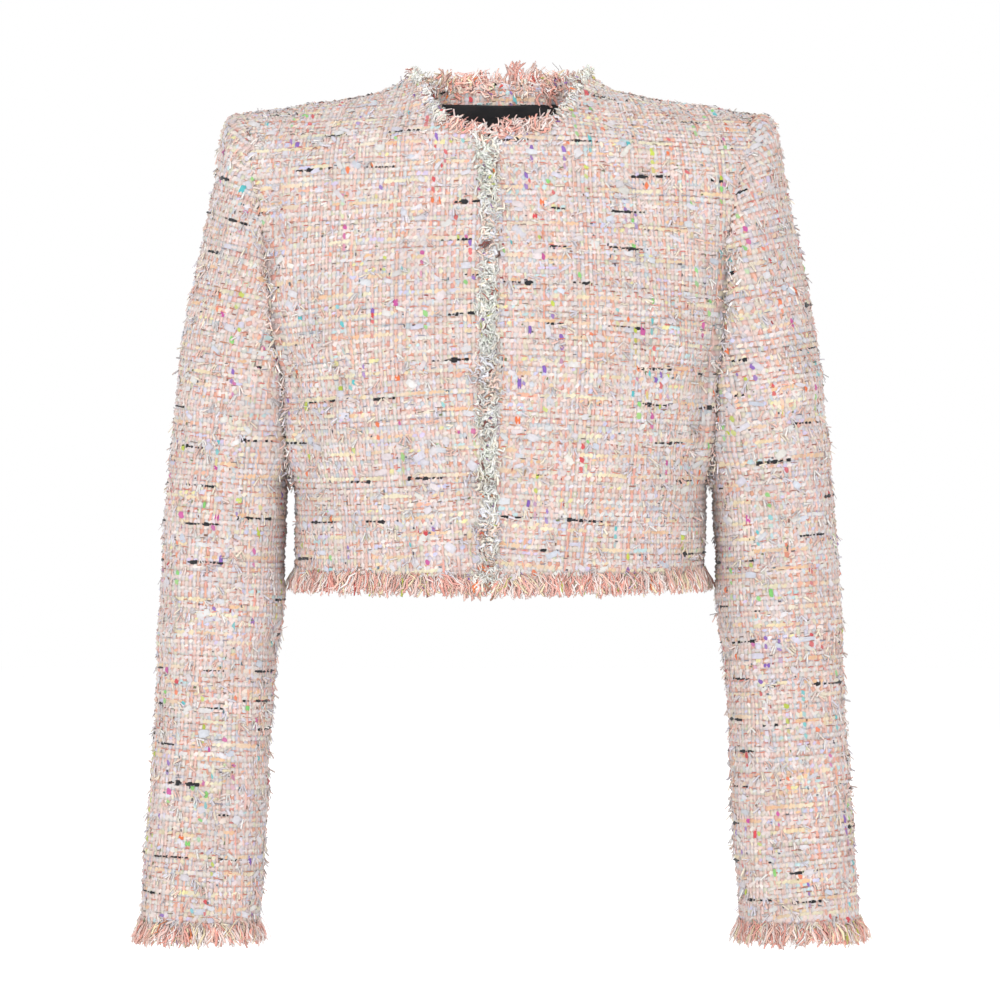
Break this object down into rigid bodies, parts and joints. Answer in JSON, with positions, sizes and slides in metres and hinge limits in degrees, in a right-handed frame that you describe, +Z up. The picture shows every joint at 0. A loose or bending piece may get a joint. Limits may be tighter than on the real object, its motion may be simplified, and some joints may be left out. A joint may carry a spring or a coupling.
{
  "type": "cropped tweed jacket",
  "caption": "Cropped collarless jacket of boucle tweed with long two-piece sleeves and frayed edges, hollow and filled out as when it is worn.",
  "frame": {"origin": "the middle of the neck opening, level with the high points of the shoulders, where the wearer's shoulders carry it", "axes": "+Z up, the front faces -Y, and the wearer's left side is at +X"},
  "size_m": [0.5428, 0.2391, 0.664],
  "materials": {
    "tweed": "loose pink, cream and white boucle tweed",
    "coral_fringe": "frayed coral and pink warp ends",
    "pale_fringe": "frayed grey-white weft ends",
    "black_label": "plain satin-woven tab"
  },
  "bodies": {
    "root": {"front_left": "tweed", "front_right": "tweed", "back": "tweed", "sleeve_top_left": "tweed", "sleeve_under_left": "tweed", "sleeve_top_right": "tweed", "sleeve_under_right": "tweed", "neck_label": "black_label", "hem_fringe_left": "coral_fringe", "hem_fringe_right": "coral_fringe", "hem_fringe_back": "coral_fringe", "cuff_fringe_left": "coral_fringe", "cuff_fringe_right": "coral_fringe", "neck_fringe_left": "coral_fringe", "neck_fringe_right": "coral_fringe", "neck_fringe_back": "coral_fringe", "front_fringe_left": "pale_fringe", "front_fringe_right": "pale_fringe"}
  },
  "joints": []
}
